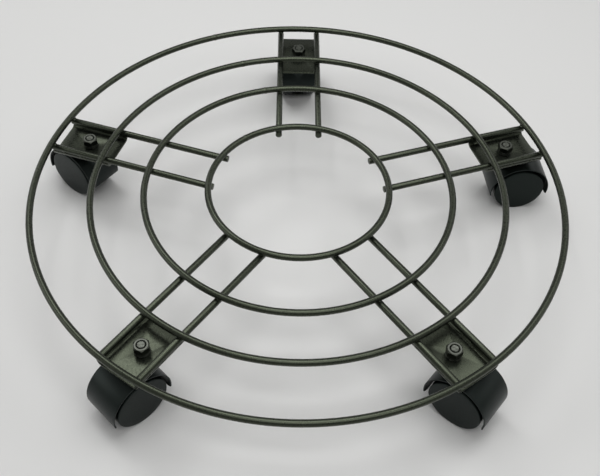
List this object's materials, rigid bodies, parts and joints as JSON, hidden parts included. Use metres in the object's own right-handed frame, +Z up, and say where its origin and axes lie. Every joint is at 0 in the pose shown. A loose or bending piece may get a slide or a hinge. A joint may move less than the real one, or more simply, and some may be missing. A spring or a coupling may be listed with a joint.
{
  "type": "plant caddy",
  "caption": "Round wire plant caddy: concentric steel hoops on radial rod pairs, carried by hooded twin-wheel swivel casters on pressed brackets.",
  "frame": {"origin": "on the floor, straight below the centre of the hoops", "axes": "+Z up; +Y from the centre towards caster 1 at the back; +X to the right as seen from the front"},
  "size_m": [0.5189, 0.5233, 0.0804],
  "materials": {
    "frame_paint": "semi-gloss black paint",
    "zinc_steel": "dull zinc plate",
    "hood_plastic": "moulded, satin to gloss",
    "wheel_plastic": "moulded nylon, satin"
  },
  "bodies": {
    "frame": {"ring_outer": "frame_paint", "ring_second": "frame_paint", "ring_third": "frame_paint", "ring_inner": "frame_paint", "rod_1_left": "frame_paint", "rod_1_right": "frame_paint", "rod_2_left": "frame_paint", "rod_2_right": "frame_paint", "rod_3_left": "frame_paint", "rod_3_right": "frame_paint", "rod_4_left": "frame_paint", "rod_4_right": "frame_paint", "rod_5_left": "frame_paint", "rod_5_right": "frame_paint", "bracket_1": "frame_paint", "bracket_2": "frame_paint", "bracket_3": "frame_paint", "bracket_4": "frame_paint", "bracket_5": "frame_paint", "washers": "zinc_steel", "spring_washers": "zinc_steel", "nuts": "zinc_steel", "stem_clips": "zinc_steel", "stem_1": "zinc_steel", "stem_2": "zinc_steel", "stem_3": "zinc_steel", "stem_4": "zinc_steel", "stem_5": "zinc_steel"},
    "caster_1": {"hood_1": "hood_plastic", "axle_1": "zinc_steel"},
    "caster_2": {"hood_2": "hood_plastic", "axle_2": "zinc_steel"},
    "caster_3": {"hood_3": "hood_plastic", "axle_3": "zinc_steel"},
    "caster_4": {"hood_4": "hood_plastic", "axle_4": "zinc_steel"},
    "caster_5": {"hood_5": "hood_plastic", "axle_5": "zinc_steel"},
    "wheel_1_left": {"wheel_1_left": "wheel_plastic"},
    "wheel_1_right": {"wheel_1_right": "wheel_plastic"},
    "wheel_2_left": {"wheel_2_left": "wheel_plastic"},
    "wheel_2_right": {"wheel_2_right": "wheel_plastic"},
    "wheel_3_left": {"wheel_3_left": "wheel_plastic"},
    "wheel_3_right": {"wheel_3_right": "wheel_plastic"},
    "wheel_4_left": {"wheel_4_left": "wheel_plastic"},
    "wheel_4_right": {"wheel_4_right": "wheel_plastic"},
    "wheel_5_left": {"wheel_5_left": "wheel_plastic"},
    "wheel_5_right": {"wheel_5_right": "wheel_plastic"}
  },
  "joints": [
    {"name": "swivel_1", "type": "hinge", "parent": "frame", "child": "caster_1", "pos_m": [0, 0.2195, 0.0557], "axis": [0, 0, 1], "continuous": true},
    {"name": "swivel_2", "type": "hinge", "parent": "frame", "child": "caster_2", "pos_m": [-0.20876, 0.06783, 0.0557], "axis": [0, 0, 1], "continuous": true},
    {"name": "swivel_3", "type": "hinge", "parent": "frame", "child": "caster_3", "pos_m": [-0.12902, -0.17758, 0.0557], "axis": [0, 0, 1], "continuous": true},
    {"name": "swivel_4", "type": "hinge", "parent": "frame", "child": "caster_4", "pos_m": [0.12902, -0.17758, 0.0557], "axis": [0, 0, 1], "continuous": true},
    {"name": "swivel_5", "type": "hinge", "parent": "frame", "child": "caster_5", "pos_m": [0.20876, 0.06783, 0.0557], "axis": [0, 0, 1], "continuous": true},
    {"name": "spin_1_left", "type": "hinge", "parent": "caster_1", "child": "wheel_1_left", "pos_m": [-0.01376, 0.23758, 0.0255], "axis": [-0.9969, -0.0785, 0], "continuous": true},
    {"name": "spin_1_right", "type": "hinge", "parent": "caster_1", "child": "wheel_1_right", "pos_m": [0.01076, 0.23951, 0.0255], "axis": [-0.9969, -0.0785, 0], "continuous": true},
    {"name": "spin_2_left", "type": "hinge", "parent": "caster_2", "child": "wheel_2_left", "pos_m": [-0.2314, 0.0697, 0.0255], "axis": [-0.6088, -0.7934, 0], "continuous": true},
    {"name": "spin_2_right", "type": "hinge", "parent": "caster_2", "child": "wheel_2_right", "pos_m": [-0.21642, 0.08922, 0.0255], "axis": [-0.6088, -0.7934, 0], "continuous": true},
    {"name": "spin_3_left", "type": "hinge", "parent": "caster_3", "child": "wheel_3_left", "pos_m": [-0.13402, -0.19974, 0.0255], "axis": [0.7009, -0.7133, 0], "continuous": true},
    {"name": "spin_3_right", "type": "hinge", "parent": "caster_3", "child": "wheel_3_right", "pos_m": [-0.15126, -0.18219, 0.0255], "axis": [0.7009, -0.7133, 0], "continuous": true},
    {"name": "spin_4_left", "type": "hinge", "parent": "caster_4", "child": "wheel_4_left", "pos_m": [0.1516, -0.18004, 0.0255], "axis": [0.6293, 0.7771, 0], "continuous": true},
    {"name": "spin_4_right", "type": "hinge", "parent": "caster_4", "child": "wheel_4_right", "pos_m": [0.13612, -0.19916, 0.0255], "axis": [0.6293, 0.7771, 0], "continuous": true},
    {"name": "spin_5_left", "type": "hinge", "parent": "caster_5", "child": "wheel_5_left", "pos_m": [0.22671, 0.08175, 0.0255], "axis": [-0.0872, 0.9962, 0], "continuous": true},
    {"name": "spin_5_right", "type": "hinge", "parent": "caster_5", "child": "wheel_5_right", "pos_m": [0.22886, 0.05724, 0.0255], "axis": [-0.0872, 0.9962, 0], "continuous": true}
  ]
}
